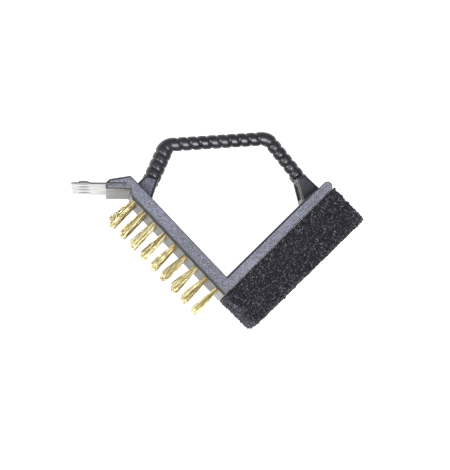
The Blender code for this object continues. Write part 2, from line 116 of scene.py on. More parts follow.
FOOT_ACROSS = 0.025
LEFT_FOOT_TOP_ACROSS = 0.0155
LEFT_FOOT_ROUND = 0.0025
RIGHT_FOOT_ROUND = 0.0018
FOOT_SINK = 0.0030
LEFT_FOOT_FROM_KNEE = 0.0062
LEFT_FOOT_LENGTH = 0.0170
LEFT_FOOT_TOP_OUTER = (-0.0006, 0.0108)
LEFT_FOOT_TOP_INNER = (0.0078, 0.0170)
RIGHT_FOOT_FROM_END = 0.0058
RIGHT_FOOT_LENGTH = 0.0168
RIGHT_FOOT_TOP_OUTER = (0.0006, 0.0138)
RIGHT_FOOT_TOP_INNER = (0.0072, 0.0162)
POCKET_ACROSS = 0.0165
POCKET_DEPTH = 0.0020
POCKET_ABOVE_ARM = 0.0030
POCKET_BELOW_TOP = 0.0020
POCKET_ROUND = 0.0004
STEP_ACROSS = 0.0030
STEP_INSET = 0.0006
STEP_REACH = 0.0048
STEP_THICKNESS = 0.0018
STEP_ROUND = 0.0003

LEFT_LEG_SHARE = 0.5
LEFT_LEG = (0.0114, 0.0262)
RIGHT_LEG_SHARE = 0.62
RIGHT_LEG = (-0.0250, 0.0310)
LEG_SINK = 0.0040
BAR_DIAMETER = 0.0110
LEFT_LEG_DIAMETER = 0.0134
ELBOW_RADIUS = 0.0085
ROPE_STEP = 0.00045
ROPE_SIDES = 48
ELBOW_FEWEST_STEPS = 4
ELBOW_GROOVE_FADE = 2
GROOVE_DEPTH = 0.0011
GROOVE_SHARPNESS = 4.0
LEFT_GROOVE = (0.0063, 0.0057, -1)
BAR_GROOVE = (0.0076, 0.00035, 1)
RIGHT_GROOVE = (0.00665, 0.0053, 0)

ROWS = 9
COLUMNS = 4
FIRST_ROW_PAST_V = 0.0014
LAST_ROW_FROM_KNEE = 0.0147
COLUMN_INSET = 0.0090
TUFT_LENGTH = 0.0228
TUFT_ROOT_DIAMETER = 0.0029
TUFT_TIP_DIAMETER = 0.0065
TUFT_ROOT_DEPTH = 0.0065
HOLE_SIDES = 20
WIRES = 24
WIRE_DIAMETER = 0.00044
WIRE_SIDES = 6
WIRE_STEPS = 9
WIRE_SHARP_ANGLE = 60

# How the wires of a tuft differ. A range is (least, most), and a spread is a standard deviation.
GOLDEN_ANGLE = 2.399963
ANGLE_SPREAD = 0.15
TWIST_SPREAD = 0.25
LEAN_SPREAD = 0.00035
FLARE_RANGE = (0.85, 1.08)
WORN_FLARE = 0.22
LENGTH_SPREAD = 0.0006
OUTER_WIRE_SHORTER = 0.0006
CRIMP_RANGE = (0.00014, 0.00034)
CRIMP_HEIGHT_PER_RADIAN = 0.00135
CRIMP_GROWTH = 3
ROOT_SHARE_MODELLED = 0.55
BEND_POWER = 0.95
WORN_BEND_POWER = 0.30

PAD_SHORT_OF_BRISTLE_FACE = 0.0002
PAD_SHORT_OF_END = 0.0005
PAD_OFF_ARM = 0.0008
PAD_FACE = RIGHT_ARM_THICKNESS + PAD_OFF_ARM
PAD_THICKNESS = 0.0316
PAD_THICKENS = 0.0012
PAD_SIDE_INSET = 0.0005
PAD_CORNER = 0.0030
PAD_CORNER_SEGMENTS = 5
PAD_GLUED_CORNER = 0.0008
PAD_GLUED_CORNER_SEGMENTS = 2
PAD_CELL = 0.00055
FIBRES = 15000
FIBRE_DIAMETER = 0.00026
FIBRE_SIDES = 3
FIBRE_STEPS = 4

# The pad's broken surface: a swell, a tangle and a fine grain, each with its noise scale per
# millimetre and its depth. The glued side is flatter, and its rim is pressed against the arm.
SWELL_SCALE, SWELL_DEPTH = 0.20, 0.0004
TANGLE_SCALE, TANGLE_DEPTH, TANGLE_POWER, TANGLE_LEVEL = 0.42, 0.0014, 0.6, 0.58
GRAIN_SCALE, GRAIN_DEPTH, GRAIN_POWER, GRAIN_LEVEL = 0.95, 0.0016, 0.7, 0.5
TANGLE_OFFSET = Vector((7, 3, 1))
GRAIN_OFFSET = Vector((2, 9, 5))
DEEPEST, HIGHEST = -0.0020, 0.0010
GLUED_SIDE_DEPTH = 0.0012
GLUED_RIM_AT_END = 0.0055
GLUED_RIM_AT_SIDE = 0.0022
GLUED_RIM_LIFT = 0.0007
GLUED_RIM_SHARE = 0.2
GLUED_SHARE = 0.4

# How the pad's loose fibres differ.
FIBRE_REACH_RANGE = (0.0008, 0.0024)
FIBRE_LIFT_RANGE = (0.0001, 0.0008)
FIBRE_CURL_SPREAD = 0.0007
FIBRE_RADIUS_SHARES = (0.45, 0.85)
FIBRE_ROOT = 0.0002
STRAY_SHARE = 0.12
STRAY_ROOT = 0.0003
STRAY_LIFT = 0.0006
GLUED_SIDE_FACING = -0.4

# How spark-eroded each flat face is, from 0 for polished to 1 for fully eroded, and how a foot's
# side is told from the small faces round it. The more eroded a face, the paler and rougher it is.
# The left arm's side is set a little darker than the right arm's. The left foot's side is set pale,
# partly for its eroded finish and partly as painted light; the right foot's flat sides are kept
# nearly polished and dark as painted shade, where the arm shades them.
RIGHT_ARM_MATT = 1.0
LEFT_ARM_MATT = 0.82
# Painted light in part: the left foot's side is made pale.
LEFT_FOOT_MATT_AND_PAINTED_LIGHT = 0.9
# Painted shade: the right foot's flat sides stay dark, where the arm shades them.
RIGHT_FOOT_MATT_AND_PAINTED_SHADE = 0.08
LEFT_FOOT_FACING = 0.9
LEFT_FOOT_HEIGHT = 0.018
LEFT_FOOT_LEAST_AREA = 3e-6
RIGHT_FOOT_LEAST_AREA = 1e-5

# The gap round the blade and round each tuft's root, and how far a cutter reaches past a face.
CLEARANCE = 0.0003
CUT_PAST = 0.0020

# How near two places have to be to count as one, and how square a flat face stands to Z.
SAME_PLACE = 1e-4
SAME_FACE = 1e-5
FLAT_FACE = 0.999

# The stage. A light is (name, direction from the frame's origin, power, size), and the camera's
# places are from the V's inner corner.
FLOOR_HALF_SIZE = 3
FLOOR_BELOW = 0.0003
LIGHT_DISTANCE = 1.5
LIGHTS = (
    ("key", (0.08, -0.40, 0.90), 37, 0.85),
    ("side", (-0.75, -0.12, 0.66), 14, 0.6),
)
WORLD_COLOR = (0.93, 0.95, 1.08, 1.0)
WORLD_STRENGTH = 0.36
CAMERA_LENS = 108.2137
CAMERA_SENSOR = 36.0
CAMERA_CLIP_START = 0.05
CAMERA_PLACE = (-0.08722, -0.10025, 1.1000)
CAMERA_TARGET = (-0.0012, 0.0314, 0.055)

collection = bpy.data.collections.new("visual_pieces")
bpy.context.scene.collection.children.link(collection)


def turned(angle):
    """The unit vector at this angle in the XY plane."""
    return Vector((math.cos(math.radians(angle)), math.sin(math.radians(angle))))


LEFT_ALONG = turned(LEFT_ARM_ANGLE)
LEFT_OUT = turned(LEFT_ARM_ANGLE + 90)
RIGHT_ALONG = turned(RIGHT_ARM_ANGLE)
RIGHT_OUT = turned(RIGHT_ARM_ANGLE - 90)


# ---------------------------------------------------------------- materials


class Nodes:
    """A material's node tree, with short calls to add and link nodes."""

    def __init__(self, name):
        self.material = bpy.data.materials.new(name)
        self.material.use_nodes = True
        self.tree = self.material.node_tree
        self.shader = self.tree.nodes["Principled BSDF"]
        self.place = self.add("ShaderNodeTexCoord").outputs["Object"]

    def add(self, kind, **settings):
        node = self.tree.nodes.new(kind)
        for key, value in settings.items():
            setattr(node, key, value)
        return node

    def link(self, output, socket):
        self.tree.links.new(output, socket)

    def fill(self, node, values):
        """Links or sets each named input of a node."""
        for key, value in values.items():
            if isinstance(value, bpy.types.NodeSocket):
                self.link(value, node.inputs[key])
            else:
                node.inputs[key].default_value = value
        return node

    def stretched(self, scale, turn=0.0):
        """The place on the object, turned about Z and scaled, for a grain that runs one way."""
        node = self.add("ShaderNodeMapping")
        rotation = (0, 0, math.radians(turn))
        values = {"Vector": self.place, "Rotation": rotation, "Scale": scale}
        return self.fill(node, values).outputs["Vector"]

    def noise(self, scale, detail=3.0, rough=0.55, vector=None, distortion=0.0):
        node = self.add("ShaderNodeTexNoise")
        values = {
            "Vector": vector or self.place,
            "Scale": scale,
            "Detail": detail,
            "Roughness": rough,
            "Distortion": distortion,
        }
        return self.fill(node, values).outputs["Fac"]

    def cells(self, scale):
        """The distance from the nearest of many scattered points."""
        node = self.add("ShaderNodeTexVoronoi", feature="F1")
        return self.fill(node, {"Vector": self.place, "Scale": scale}).outputs["Distance"]

    def ramp(self, value, low, high, to_low=0.0, to_high=1.0):
        """A value in low to high brought to to_low to to_high, and held there beyond them."""
        node = self.add("ShaderNodeMapRange")
        values = {
            "Value": value,
            "From Min": low,
            "From Max": high,
            "To Min": to_low,
            "To Max": to_high,
        }
        return self.fill(node, values).outputs["Result"]

    def mix(self, share, first, second):
        """A colour between two, at this share of the way to the second."""
        node = self.add("ShaderNodeMix", data_type="RGBA")
        for socket, value in ((0, share), (6, first), (7, second)):
            if isinstance(value, bpy.types.NodeSocket):
                self.link(value, node.inputs[socket])
            else:
                node.inputs[socket].default_value = value
        return node.outputs[2]

    def math(self, operation, first, second=0.0):
        node = self.add("ShaderNodeMath", operation=operation)
        return self.fill(node, {0: first, 1: second}).outputs[0]

    def bump(self, height, distance, strength):
        node = self.add("ShaderNodeBump")
        values = {"Height": height, "Distance": distance, "Strength": strength}
        return self.fill(node, values).outputs["Normal"]


def grey(level, tint=(1.0, 1.0, 1.0)):
    return (level * tint[0], level * tint[1], level * tint[2], 1.0)


def moulded_plastic():
    """Black moulded plastic. The flat sides of the V are spark-eroded, so they are rough and look
    paler; the rounds and the handle are polished. Edges are a little worn. The same marks paint
    light on the left foot's side and shade on the right foot's flat sides."""
    made = Nodes("black_moulded_plastic")
    tint = (0.93, 0.96, 1.24)
    matt_and_painted_light = made.add("ShaderNodeAttribute", attribute_name="matt_and_painted_light").outputs["Fac"]
    cloud = made.noise(70, 4)
    broad = made.noise(24, 2)
    scuff = made.noise(900, 5, 0.7, made.stretched((1.0, 0.12, 1.0), 35))
    grain = made.noise(3600, 3, 0.65)
    pebble = made.noise(1150, 2, 0.6)
    pits = made.cells(2200)
    polished = made.mix(made.ramp(cloud, 0.3, 0.7), grey(0.008, tint), grey(0.016, tint))
    eroded = made.mix(made.ramp(broad, 0.38, 0.62), grey(0.076, tint), grey(0.136, tint))
    eroded = made.mix(made.ramp(pebble, 0.52, 0.36), eroded, grey(0.044, tint))
    eroded = made.mix(made.ramp(pebble, 0.52, 0.70), eroded, grey(0.235, tint))
    # Where the eroded marks fall on the feet, they paint light on the left foot and shade on the
    # right.
    base = made.mix(matt_and_painted_light, polished, eroded)
    base = made.mix(made.ramp(scuff, 0.60, 0.78, 0.0, 0.25), base, grey(0.105, tint))
    edge = made.add("ShaderNodeNewGeometry").outputs["Pointiness"]
    worn = made.math("MULTIPLY", made.ramp(edge, 0.53, 0.62), made.ramp(cloud, 0.4, 0.6))
    base = made.mix(made.math("MULTIPLY", worn, 0.4), base, grey(0.085, tint))
    gloss = made.ramp(made.math("ADD", cloud, scuff), 0.7, 1.3, 0.27, 0.40)
    height = made.math("ADD", grain, made.math("MULTIPLY", pits, 0.6))
    values = {
        "Base Color": base,
        "Roughness": made.math("ADD", gloss, made.math("MULTIPLY", matt_and_painted_light, 0.32)),
        "IOR": 1.49,
        "Specular IOR Level": 0.55,
        "Normal": made.bump(height, 0.00008, made.ramp(matt_and_painted_light, 0, 1, 0.25, 0.8)),
    }
    made.fill(made.shader, values)
    return made.material


def brushed_steel():
    """Stamped sheet steel with a fine brushed grain along it, and a few stains."""
    made = Nodes("brushed_steel")
    grain = made.noise(2600, 3, 0.7, made.stretched((0.05, 1.0, 1.0)))
    cloud = made.noise(140, 4, 0.6)
    tint = (0.98, 0.99, 1.01)
    base = made.mix(made.ramp(cloud, 0.35, 0.75), grey(0.196, tint), grey(0.164, tint))
    base = made.mix(made.ramp(grain, 0.55, 0.8, 0, 0.5), base, grey(0.132))
    values = {
        "Base Color": base,
        "Metallic": 0.78,
        "Roughness": made.ramp(made.math("ADD", grain, cloud), 0.7, 1.3, 0.18, 0.32),
        "Normal": made.bump(grain, 0.00004, 0.5),
    }
    made.fill(made.shader, values)
    return made.material


def brass():
    """Drawn brass wire. Its tone changes from wire to wire, and it has painted shade towards the
    root, where the packed wires shade each other.
    """
    made = Nodes("brass_wire")
    tone = made.add("ShaderNodeAttribute", attribute_name="wire_tone").outputs["Fac"]
    length = made.add("ShaderNodeAttribute", attribute_name="wire_length").outputs["Fac"]
    stain = made.noise(520, 3, 0.6)
    dull = (0.26, 0.17, 0.04, 1.0)
    bright = (0.98, 0.92, 0.57, 1.0)
    stained = (0.46, 0.30, 0.09, 1.0)
    # Painted shade for the packed root of the tuft.
    root = (0.30, 0.17, 0.06, 1.0)
    base = made.mix(made.ramp(tone, 0.2, 0.6), dull, bright)
    base = made.mix(made.ramp(stain, 0.58, 0.76, 0, 0.6), base, stained)
    # Painted shade: darker towards the root.
    base = made.mix(made.ramp(length, 0.35, 0.0, 0, 0.55), base, root)
    values = {
        "Base Color": base,
        "Metallic": 0.72,
        "Roughness": made.ramp(stain, 0.3, 0.7, 0.24, 0.42),
        "Normal": made.bump(made.noise(5200, 2), 0.00003, 0.5),
    }
    made.fill(made.shader, values)
    return made.material


def scouring_mat():
    """The matted inside of the pad: black nylon fibre and grit, with painted shade in its pores,
    where its bump is low.
    """
    made = Nodes("scouring_mat")
    tint = (0.98, 0.97, 1.20)
    tangle = made.noise(900, 5, 0.75, distortion=1.2)
    tone = made.noise(160, 3)
    # Painted shade: darker where the tangle's bump is low, in the pores.
    base = made.mix(made.ramp(tangle, 0.35, 0.68), grey(0.005, tint), grey(0.020, tint))
    base = made.mix(made.ramp(tone, 0.35, 0.7, 0.0, 0.4), base, grey(0.008, tint))
    values = {
        "Base Color": base,
        "Roughness": 0.92,
        "Specular IOR Level": 0.12,
        "Normal": made.bump(tangle, 0.0006, 0.9),
    }
    made.fill(made.shader, values)
    return made.material


def scouring_fibre():
    """Single fibres with grit bonded to them. A few are much paler than the rest."""
    made = Nodes("scouring_fibres")
    tint = (0.98, 0.97, 1.20)
    tone = made.add("ShaderNodeAttribute", attribute_name="wire_tone").outputs["Fac"]
    grit = made.cells(1900)
    base = made.mix(made.ramp(tone, 0.0, 0.85), grey(0.008, tint), grey(0.100, tint))
    base = made.mix(made.ramp(tone, 0.80, 1.0), base, grey(0.21, tint))
    base = made.mix(made.ramp(grit, 0.30, 0.10, 0, 0.7), base, grey(0.16, tint))
    values = {
        "Base Color": base,
        "Roughness": 0.5,
        "Specular IOR Level": 0.35,
        "Normal": made.bump(grit, 0.0003, 0.8),
    }
    made.fill(made.shader, values)
    return made.material


def dried_glue():
    """Cured hot-melt glue, clouded and a little uneven."""
    made = Nodes("dried_glue")
    cloud = made.noise(220, 4, 0.6)
    values = {
        "Base Color": made.mix(cloud, (0.46, 0.41, 0.30, 1.0), (0.66, 0.60, 0.47, 1.0)),
        "Roughness": made.ramp(cloud, 0.3, 0.7, 0.35, 0.6),
        "Normal": made.bump(made.noise(900, 3), 0.0002, 0.5),
    }
    made.fill(made.shader, values)
    return made.material


def floor_finish():
    """A pale studio floor, lit a little from within so that it stays white round the brush."""
    made = Nodes("pale_floor")
    cloud = made.noise(9, 2)
    tint = (1.0, 0.99, 0.97)
    values = {
        "Base Color": made.mix(cloud, grey(0.46, tint), grey(0.44, tint)),
        "Roughness": 0.8,
        "Specular IOR Level": 0.2,
        "Emission Color": grey(1.0, (1.0, 0.992, 0.975)),
        "Emission Strength": 0.96,
    }
    made.fill(made.shader, values)
    return made.material


# ---------------------------------------------------------------- shapes


def piece(name, mesh, finish=None):
    """A new object of the look, with its finish."""
    obj = bpy.data.objects.new(name, mesh)
    collection.objects.link(obj)
    if finish:
        mesh.materials.append(finish)
    return obj


def mesh_of(name, form):
    """The mesh of a bmesh, with its faces turned outwards."""
    bmesh.ops.recalc_face_normals(form, faces=form.faces[:])
    mesh = bpy.data.meshes.new(name)
    form.to_mesh(mesh)
    form.free()
    return mesh


def meeting(point_a, along_a, point_b, along_b):
    """Where two lines of the XY plane cross."""
    cross = along_a.x * along_b.y - along_a.y * along_b.x
    between = point_b - point_a
    step = (between.x * along_b.y - between.y * along_b.x) / cross
    return point_a + along_a * step


def left_place(along, out):
    """A place this far along the left arm from the V's corner, and this far out of the V."""
    return LEFT_ALONG * along + LEFT_OUT * out


def right_place(along, out):
    """The same of the right arm."""
    return RIGHT_ALONG * along + RIGHT_OUT * out


KNEE = left_place(LEFT_ARM_LENGTH, 0)
CHAMFER_TOP = KNEE + turned(BRACKET_ANGLE) * BRACKET_TOP_LENGTH
BRACKET_FLOOR = CHAMFER_TOP.y - BRACKET_DEPTH
BRACKET_END = KNEE.x - BRACKET_LENGTH
SLOT_TOP = CHAMFER_TOP.y - SLOT_ROOF
LEFT_FOOT_OUTER = LEFT_ARM_LENGTH - LEFT_FOOT_FROM_KNEE
RIGHT_FOOT_OUTER = RIGHT_ARM_LENGTH - RIGHT_FOOT_FROM_END
LEFT_FOOT_TOP = [
    left_place(LEFT_FOOT_OUTER - along, -away)
    for along, away in (LEFT_FOOT_TOP_OUTER, LEFT_FOOT_TOP_INNER)
]
RIGHT_FOOT_TOP = [
    right_place(RIGHT_FOOT_OUTER - along, -away)
    for along, away in (RIGHT_FOOT_TOP_OUTER, RIGHT_FOOT_TOP_INNER)
]


def right_free_end():
    """The round free end of the right arm, from its outer face to its inner one."""
    radius = (RIGHT_ARM_THICKNESS - RIGHT_END_THINNER) / 2
    centre = right_place(RIGHT_ARM_LENGTH - radius, RIGHT_ARM_THICKNESS - radius)
    start = RIGHT_ARM_ANGLE - 90
    steps = range(RIGHT_END_STEPS + 1)
    return [centre + turned(start + 180 * step / RIGHT_END_STEPS) * radius for step in steps]


def v_outline():
    """The outline of the V and its bracket, counterclockwise from the tip of the V."""
    tip = meeting(
        left_place(0, LEFT_ARM_THICKNESS),
        LEFT_ALONG,
        right_place(0, RIGHT_ARM_THICKNESS),
        RIGHT_ALONG,
    )
    return [
        tip,
        *right_free_end(),
        right_place(RIGHT_FOOT_OUTER - RIGHT_END_TAPER[0], RIGHT_END_THINNER),
        right_place(RIGHT_FOOT_OUTER - RIGHT_END_TAPER[1], 0),
        right_place(0, 0),
        KNEE,
        CHAMFER_TOP,
        Vector((BRACKET_END, CHAMFER_TOP.y - BRACKET_CHAMFER_DROP)),
        Vector((BRACKET_END, BRACKET_FLOOR)),
        Vector((KNEE.x - BRACKET_ROOT_BACK, BRACKET_FLOOR)),
        left_place(LEFT_ARM_LENGTH - FACE_SHORT_OF_KNEE, LEFT_ARM_THICKNESS),
    ]


def rounded_prism(name, outline, bottom, top, radius_of, segments=ROUND_SEGMENTS):
    """The outline extruded from bottom to top. radius_of(middle, upright) is the radius of the
    round on the edge whose middle is there, and upright says that the edge runs across the brush."""
    form = bmesh.new()
    face = form.faces.new([form.verts.new((p.x, p.y, bottom)) for p in outline])
    pushed = bmesh.ops.extrude_face_region(form, geom=[face])
    moved = [item for item in pushed["geom"] if isinstance(item, bmesh.types.BMVert)]
    bmesh.ops.translate(form, verts=moved, vec=(0, 0, top - bottom))
    weight = form.edges.layers.float.new("bevel_weight_edge")
    for edge in form.edges:
        a, b = (vert.co for vert in edge.verts)
        upright = abs(a.z - b.z) > 1e-6
        edge[weight] = radius_of((a.xy + b.xy) / 2, upright) / WIDEST_ROUND
    obj = piece(name, mesh_of(name, form))
    bevel = obj.modifiers.new("Moulded rounds", "BEVEL")
    bevel.limit_method = "WEIGHT"
    bevel.width = WIDEST_ROUND
    bevel.segments = segments
    bevel.use_clamp_overlap = False
    return obj


def v_round(middle, upright):
    """The radius of the round on an edge of the V. The right arm's free end is already round."""
    if upright:
        face_end = left_place(LEFT_ARM_LENGTH - FACE_SHORT_OF_KNEE, LEFT_ARM_THICKNESS)
        if (middle - face_end).length < SAME_PLACE:
            return FACE_END_ROUND
        if (middle - right_place(RIGHT_ARM_LENGTH, 0)).length < FREE_END_REACH:
            return 0.0
        return KNEE_ROUND if (middle - KNEE).length < SAME_PLACE else EDGE_ROUND
    if abs(middle.dot(LEFT_OUT) - LEFT_ARM_THICKNESS) < SAME_FACE:
        return BRISTLE_FACE_ROUND
    if abs(middle.dot(RIGHT_OUT)) < SAME_FACE and middle.dot(RIGHT_ALONG) > 0:
        return RIGHT_INNER_ROUND
    return BRACKET_ROUND if middle.x < KNEE.x - SAME_PLACE else EDGE_ROUND


def foot(name, outline, radius):
    """A foot's block, with this radius round its two sides and a smaller one on its corners."""
    middle, half = BRUSH_WIDTH / 2, FOOT_ACROSS / 2
    return rounded_prism(
        name,
        outline,
        middle - half,
        middle + half,
        lambda place, upright: EDGE_ROUND if upright else radius,
        FOOT_ROUND_SEGMENTS,
    )


def left_foot():
    """The foot under the left leg, which narrows across the brush as it rises to the leg."""
    start = LEFT_FOOT_OUTER - LEFT_FOOT_LENGTH
    block = foot(
        "left_foot",
        [
            left_place(start, FOOT_SINK),
            left_place(start, 0),
            LEFT_FOOT_TOP[1],
            LEFT_FOOT_TOP[0],
            left_place(LEFT_FOOT_OUTER, 0),
            left_place(LEFT_FOOT_OUTER, FOOT_SINK),
        ],
        LEFT_FOOT_ROUND,
    )
    applied(block)
    middle = BRUSH_WIDTH / 2
    for vert in block.data.vertices:
        risen = -vert.co.xy.dot(LEFT_OUT) / LEFT_FOOT_TOP_INNER[1]
        narrowing = 1 - LEFT_FOOT_TOP_ACROSS / FOOT_ACROSS
        vert.co.z = middle + (vert.co.z - middle) * (1 - narrowing * max(0, min(1, risen)))
    return block


def right_foot():
    """The flared foot under the right leg."""
    start = RIGHT_FOOT_OUTER - RIGHT_FOOT_LENGTH
    return foot(
        "right_foot",
        [
            right_place(RIGHT_FOOT_OUTER, FOOT_SINK),
            right_place(RIGHT_FOOT_OUTER, 0),
            RIGHT_FOOT_TOP[0],
            RIGHT_FOOT_TOP[1],
            right_place(start, 0),
            right_place(start, FOOT_SINK),
        ],
        RIGHT_FOOT_ROUND,
    )


def bar_between(name, start, end, across_from, across_to, thickness, radius=0.0):
    """A box that runs from start to end in the XY plane."""
    along = (end - start).normalized()
    side = Vector((-along.y, along.x)) * thickness / 2
    outline = [start - side, end - side, end + side, start + side]
    return rounded_prism(name, outline, across_from, across_to, lambda place, upright: radius)


def leg_line(foot_top, share, leg):
    """Where a leg starts, a little inside its foot, and the corner of the bar that it reaches."""
    start = foot_top[1].lerp(foot_top[0], share)
    corner = start + Vector(leg)
    return start + (start - corner).normalized() * LEG_SINK, corner


def foot_step():
    """The small moulded step that runs on up from the right foot, beside the leg."""
    start, corner = leg_line(RIGHT_FOOT_TOP, RIGHT_LEG_SHARE, RIGHT_LEG)
    up = (corner - start).normalized()
    edge = RIGHT_FOOT_TOP[1] + Vector((up.y, -up.x)) * STEP_THICKNESS / 2
    low = (BRUSH_WIDTH - FOOT_ACROSS) / 2 + STEP_INSET
    return bar_between(
        "foot_step",
        edge - up * STEP_REACH,
        edge + up * STEP_REACH,
        low,
        low + STEP_ACROSS,
        STEP_THICKNESS,
        STEP_ROUND,
    )


def foot_pocket():
    """Cuts the shallow pocket in the side of the right foot that faces the V."""
    inner = RIGHT_FOOT_TOP[1]
    base = right_place(RIGHT_FOOT_OUTER - RIGHT_FOOT_LENGTH, 0)
    along = (inner - base).normalized()
    middle = BRUSH_WIDTH / 2
    return bar_between(
        "foot_pocket",
        base + along * POCKET_ABOVE_ARM,
        inner - along * POCKET_BELOW_TOP,
        middle - POCKET_ACROSS / 2,
        middle + POCKET_ACROSS / 2,
        POCKET_DEPTH * 2,
        POCKET_ROUND,
    )


def elbow(before, corner, after, radius):
    """Points of the arc that rounds the corner between two straight runs."""
    to_before = (before - corner).normalized()
    to_after = (after - corner).normalized()
    half = to_before.angle(to_after) / 2
    reach = radius / math.tan(half)
    centre = corner + (to_before + to_after).normalized() * radius / math.sin(half)
    start = corner + to_before * reach - centre
    end = corner + to_after * reach - centre
    sweep = start.angle_signed(end)
    count = max(ELBOW_FEWEST_STEPS, round(abs(sweep) * radius / ROPE_STEP))
    steps = range(count + 1)
    return [centre + Matrix.Rotation(-sweep * step / count, 2) @ start for step in steps]


def straight(start, end):
    """Points between start and end, without either."""
    count = max(2, round((end - start).length / ROPE_STEP))
    return [start.lerp(end, step / count) for step in range(1, count)]


def rope_route():
    """The handle's centre line as (place, run, groove strength, share of the left leg's extra
    thickness) from the left foot over the bar to the right foot."""
    left_start, left_corner = leg_line(LEFT_FOOT_TOP, LEFT_LEG_SHARE, LEFT_LEG)
    right_start, right_corner = leg_line(RIGHT_FOOT_TOP, RIGHT_LEG_SHARE, RIGHT_LEG)
    left = (left_start, left_corner, LEFT_GROOVE)
    bar = (left_corner, right_corner, BAR_GROOVE)
    right = (right_corner, right_start, RIGHT_GROOVE)
    first = elbow(left[0], bar[0], bar[1], ELBOW_RADIUS)
    second = elbow(bar[0], bar[1], right[1], ELBOW_RADIUS)
    route = [(left[0], left, 1, 1)]
    route += [(place, left, 1, 1) for place in straight(left[0], first[0])]
    for arc, before, after, thick in ((first, left, bar, 1), (second, bar, right, 0)):
        for index, place in enumerate(arc):
            share = index / (len(arc) - 1)
            run = before if share < 0.5 else after
            strength = abs(2 * share - 1) ** ELBOW_GROOVE_FADE
            route.append((place, run, strength, thick * (1 - share)))
        if arc is first:
            route += [(place, bar, 1, 0) for place in straight(arc[-1], second[0])]
    route += [(place, right, 1, 0) for place in straight(second[-1], right[1])]
    route.append((right[1], right, 1, 0))
    return route


def groove_at(place, run, turn):
    """How deep the groove is at a place along its run, as a share of its full depth. turn is the
    place round the handle, from 0 on the outer side to 1."""
    start, end, (pitch, first, hand) = run
    along = (place - start).dot((end - start).normalized())
    across = ((along - first) / pitch - hand * turn) % 1
    return abs(2 * across - 1) ** GROOVE_SHARPNESS


def tube(form, rings):
    """Adds a closed tube through rings of the same number of points to a bmesh."""
    made = [[form.verts.new(point) for point in ring] for ring in rings]
    sides = len(made[0])
    for ring, following in zip(made, made[1:]):
        for side in range(sides):
            other = (side + 1) % sides
            form.faces.new((ring[side], ring[other], following[other], following[side]))
    form.faces.new(made[0][::-1])
    form.faces.new(made[-1])


def rope():
    """The ribbed handle. Its left leg is thicker, and thins to the bar round the left elbow."""
    route = rope_route()
    rings = []
    for index, (place, run, strength, thick) in enumerate(route):
        before = route[max(0, index - 1)][0]
        after = route[min(len(route) - 1, index + 1)][0]
        along = (after - before).normalized()
        outer = Vector((-along.y, along.x, 0))
        radius = (BAR_DIAMETER + (LEFT_LEG_DIAMETER - BAR_DIAMETER) * thick) / 2
        ring = []
        for side in range(ROPE_SIDES):
            turn = side / ROPE_SIDES
            angle = 2 * math.pi * turn
            reach = radius - GROOVE_DEPTH * strength * groove_at(place, run, turn)
            spoke = outer * math.cos(angle) + Vector((0, 0, math.sin(angle)))
            ring.append(Vector((*place, BRUSH_WIDTH / 2)) + spoke * reach)
        rings.append(ring)
    form = bmesh.new()
    tube(form, rings)
    return piece("rope", mesh_of("rope", form))


def slot_cutter():
    """Cuts the blade's slot through the whole width of the bracket."""
    height = BLADE_THICKNESS + 2 * CLEARANCE
    middle = SLOT_TOP - height / 2
    return bar_between(
        "blade_slot",
        Vector((BRACKET_END - CUT_PAST, middle)),
        Vector((BRACKET_END + SLOT_DEPTH, middle)),
        -CUT_PAST,
        BRUSH_WIDTH + CUT_PAST,
        height,
    )


def tuft_places():
    """(row and letter, place on the bristle face) of each tuft."""
    first = -FIRST_ROW_PAST_V
    last = LEFT_ARM_LENGTH - LAST_ROW_FROM_KNEE
    for row in range(ROWS):
        face = left_place(first + (last - first) * row / (ROWS - 1), LEFT_ARM_THICKNESS)
        for column in range(COLUMNS):
            across = COLUMN_INSET + (BRUSH_WIDTH - 2 * COLUMN_INSET) * column / (COLUMNS - 1)
            yield f"{row + 1}{'abcd'[column]}", Vector((face.x, face.y, across))


def face_matrix(place):
    """A frame at a place on the bristle face, with its Z pointing out of the face."""
    out = Vector((LEFT_OUT.x, LEFT_OUT.y, 0))
    return Matrix.Translation(place) @ out.to_track_quat("Z", "Y").to_matrix().to_4x4()


def hole_cutter():
    """All the blind holes of the bristle face, as separate closed pins in one cutter."""
    form = bmesh.new()
    depth = TUFT_ROOT_DEPTH + CLEARANCE
    radius = TUFT_ROOT_DIAMETER / 2 + CLEARANCE
    for _, place in tuft_places():
        bmesh.ops.create_cone(
            form,
            cap_ends=True,
            segments=HOLE_SIDES,
            radius1=radius,
            radius2=radius,
            depth=depth + CUT_PAST,
            matrix=face_matrix(place) @ Matrix.Translation((0, 0, (CUT_PAST - depth) / 2)),
        )
    return piece("tuft_holes", mesh_of("tuft_holes", form))


def applied(obj):
    """The object with its modifiers made part of its mesh."""
    bpy.context.view_layer.update()
    graph = bpy.context.evaluated_depsgraph_get()
    mesh = bpy.data.meshes.new_from_object(obj.evaluated_get(graph))
    old = obj.data
    obj.modifiers.clear()
    obj.data = mesh
    bpy.data.meshes.remove(old)
    return obj


def body_moulding(finish):
    """The V, its bracket and the ribbed handle are one moulding."""
    body = rounded_prism("body_shell", v_outline(), 0, BRUSH_WIDTH, v_round)
    helpers = []
    for other, operation in (
        (left_foot(), "UNION"),
        (right_foot(), "UNION"),
        (foot_pocket(), "DIFFERENCE"),
        (foot_step(), "UNION"),
        (rope(), "UNION"),
        (slot_cutter(), "DIFFERENCE"),
        (hole_cutter(), "DIFFERENCE"),
    ):
        modifier = body.modifiers.new(other.name, "BOOLEAN")
        modifier.operation = operation
        modifier.solver = "EXACT"
        modifier.object = other
        helpers.append(other)
    applied(body)
    for other in helpers:
        bpy.data.objects.remove(other, do_unlink=True)
    part_arms(body.data)
    body.data.materials.append(finish)
    smooth(body, BODY_SHARP_ANGLE)
    mark_matt_and_painted_light(body.data)
    return body


